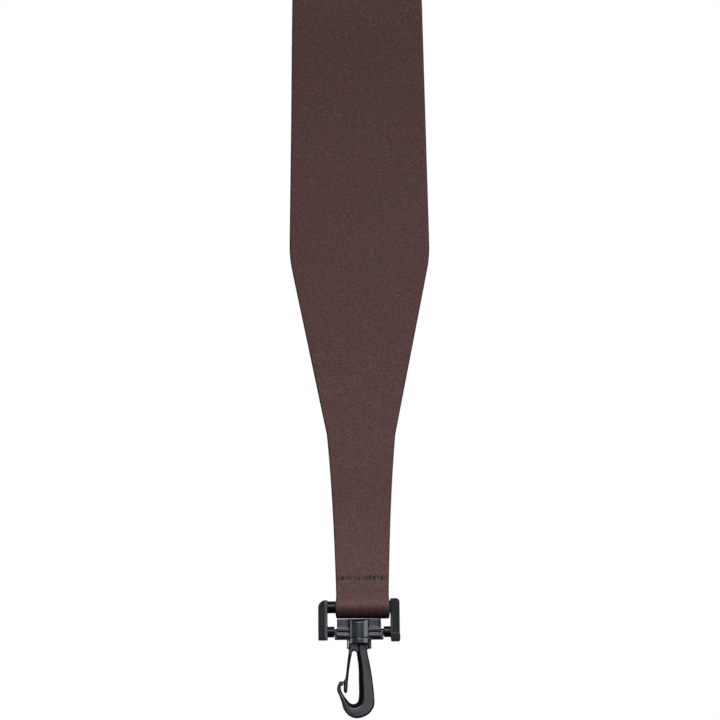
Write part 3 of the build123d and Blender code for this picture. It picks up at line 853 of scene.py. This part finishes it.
def make_camera():
    """As the photograph: a long lens, a little below the hub, looking up the strap."""
    camera = bpy.data.objects.new("camera", bpy.data.cameras.new("camera"))
    bpy.context.collection.objects.link(camera)
    camera.data.lens = 118.3
    camera.data.clip_end = 20
    camera.location = (-0.0002, -1.150, -0.5126)
    pitch, roll = math.radians(11.55), math.radians(0.5)
    look = Matrix.Rotation(math.pi / 2 + pitch, 4, "X") @ Matrix.Rotation(-roll, 4, "Z")
    camera.matrix_world = Matrix.Translation(camera.location) @ look
    bpy.context.scene.camera = camera


def area_light(name, place, target, width, height, power, colour=(1, 1, 1)):
    light = bpy.data.lights.new(name, "AREA")
    light.shape = "RECTANGLE"
    light.size, light.size_y = width, height
    light.energy = power
    light.color = colour
    obj = bpy.data.objects.new(name, light)
    bpy.context.collection.objects.link(obj)
    obj.location = place
    aim = Vector(target) - Vector(place)
    obj.rotation_euler = aim.to_track_quat("-Z", "Y").to_euler()


def make_studio():
    """Soft lights in front, behind and at each side, and a pale room that is dimmer below."""
    middle = (0, 0, -0.35)
    area_light("above_front", (0.15, -1.3, 0.28), middle, 1.0, 0.6, 20)
    area_light("behind", (-0.3, 1.4, 0.45), middle, 1.0, 0.8, 14)
    area_light("front_low", (0.0, -1.5, -0.45), (0, 0, -0.45), 0.7, 0.28, 0.72)
    area_light("side_right", (1.18, -0.21, 0.22), (0, 0, 0.22), 1.9, 1.1, 34, (0.93, 0.97, 1.0))
    area_light("side_left", (-1.18, 0.21, 0.15), (0, 0, 0.15), 1.3, 1.1, 18, (0.93, 0.97, 1.0))
    world = bpy.data.worlds.new("studio")
    bpy.context.scene.world = world
    world.use_nodes = True
    tree = world.node_tree
    seen = tree.nodes["Background"]
    seen.inputs[0].default_value = (1, 1, 1, 1)
    around = tree.nodes.new("ShaderNodeBackground")
    place = tree.nodes.new("ShaderNodeTexCoord")
    split = tree.nodes.new("ShaderNodeSeparateXYZ")
    level = tree.nodes.new("ShaderNodeMapRange")
    tone = tree.nodes.new("ShaderNodeMix")
    tone.data_type = "RGBA"
    tone.inputs[6].default_value = (0.05, 0.06, 0.07, 1)
    tone.inputs[7].default_value = (0.42, 0.49, 0.54, 1)
    for key, value in (("From Min", -0.25), ("From Max", 0.4)):
        level.inputs[key].default_value = value
    tree.links.new(place.outputs["Generated"], split.inputs[0])
    tree.links.new(split.outputs["Z"], level.inputs["Value"])
    tree.links.new(level.outputs[0], tone.inputs["Factor"])
    tree.links.new(tone.outputs[2], around.inputs[0])
    path, choose = tree.nodes.new("ShaderNodeLightPath"), tree.nodes.new("ShaderNodeMixShader")
    tree.links.new(path.outputs["Is Camera Ray"], choose.inputs[0])
    tree.links.new(around.outputs[0], choose.inputs[1])
    tree.links.new(seen.outputs[0], choose.inputs[2])
    tree.links.new(choose.outputs[0], tree.nodes["World Output"].inputs[0])
    scene = bpy.context.scene
    scene.view_settings.view_transform = "Standard"
    scene.view_settings.look = "None"


def make_floor():
    """A plain pale floor under the hanging strap. It sends no light back up, so that undersides stay dark."""
    half = 3000.0
    level = cad_box[0][2] / MM - FLOOR_FALL
    corners = [(-half, -half, level), (half, -half, level), (half, half, level), (-half, half, level)]
    floor = new_mesh("floor", corners, [(0, 1, 2, 3)])
    m = Nodes("floor", 0.7)
    m.shader.inputs["Emission Color"].default_value = (1, 1, 1, 1)
    m.shader.inputs["Emission Strength"].default_value = 0.5
    floor.data.materials.append(m.finish(m.mix(m.noise(3, 2), rgb(232, 232, 232), rgb(238, 238, 238))))
    floor.visible_diffuse = False
    floor.visible_glossy = False


def main():
    make_camera()
    make_studio()
    make_floor()
    leather = leather_material()
    black = plastic_material(
        # the frame's chamfers get a painted reflection in a lighter bluish grey
        "frame_plastic", rgb(6, 7, 8), rgb(10, 11, 12), 0.3, 0.00001, 0.18, painted_chamfer_reflection=rgb(44, 50, 56)
    )
    glossy = plastic_material("hub_plastic", rgb(16, 19, 22), rgb(20, 23, 27), 0.22, 0.000003, 0.65)
    # painted reflection: the hook's base is a lighter black than the hub's and the frame's, as a lit copy of
    # the same plastic
    polished_painted_lit = plastic_material("hook_plastic", rgb(27, 30, 33), rgb(32, 35, 39), 0.18, 0.000003, 0.6, True)
    brown_thread = thread_material("brown_thread", rgb(80, 55, 52), rgb(56, 37, 35))
    black_thread = thread_material("black_thread", rgb(48, 48, 50), rgb(20, 20, 22))
    make_leather(leather)
    make_suede(suede_material())
    make_stitches(brown_thread)
    make_webbing(web_material(), black_thread)
    make_ring(metal_material())
    make_moulded_node("web_slide", "slide", black, SLIDE_VOXEL, 2)
    make_moulded_node("buckle_frame", "buckle", black, FRAME_VOXEL, 3)
    make_moulded_node("swivel_hub", "hub", glossy, FINE_VOXEL, 5)
    make_hook(polished_painted_lit)
    make_gate(polished_painted_lit)


main()
